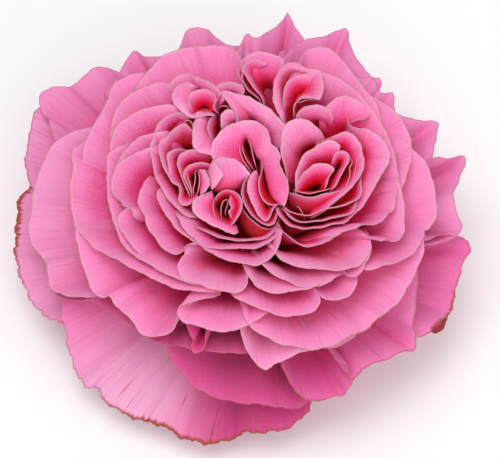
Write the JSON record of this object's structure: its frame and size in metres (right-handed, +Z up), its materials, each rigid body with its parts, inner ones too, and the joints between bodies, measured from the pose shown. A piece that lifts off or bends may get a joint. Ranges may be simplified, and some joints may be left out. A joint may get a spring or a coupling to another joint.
{
  "type": "garden rose bloom",
  "caption": "Fully double, quartered garden rose bloom in pink, picked and standing face up on its folded-back sepals.",
  "frame": {"origin": "centre of the cut face of the short stalk, on the surface that the bloom stands on", "axes": "+Z up along the flower's axis, from the cut stalk to the open face; -Y is the side where the guard petals hang lowest"},
  "size_m": [0.1243, 0.1199, 0.0533],
  "materials": {
    "calyx": "satin green sepal and hip",
    "outer_petal": "soft velvety petal, cool mauve pink with paler and browned edges",
    "petal": "soft velvety petal, warm pink with paler edges"
  },
  "bodies": {
    "root": {"calyx": "calyx", "outer_petals": "outer_petal", "inner_petals": "petal"}
  },
  "joints": []
}
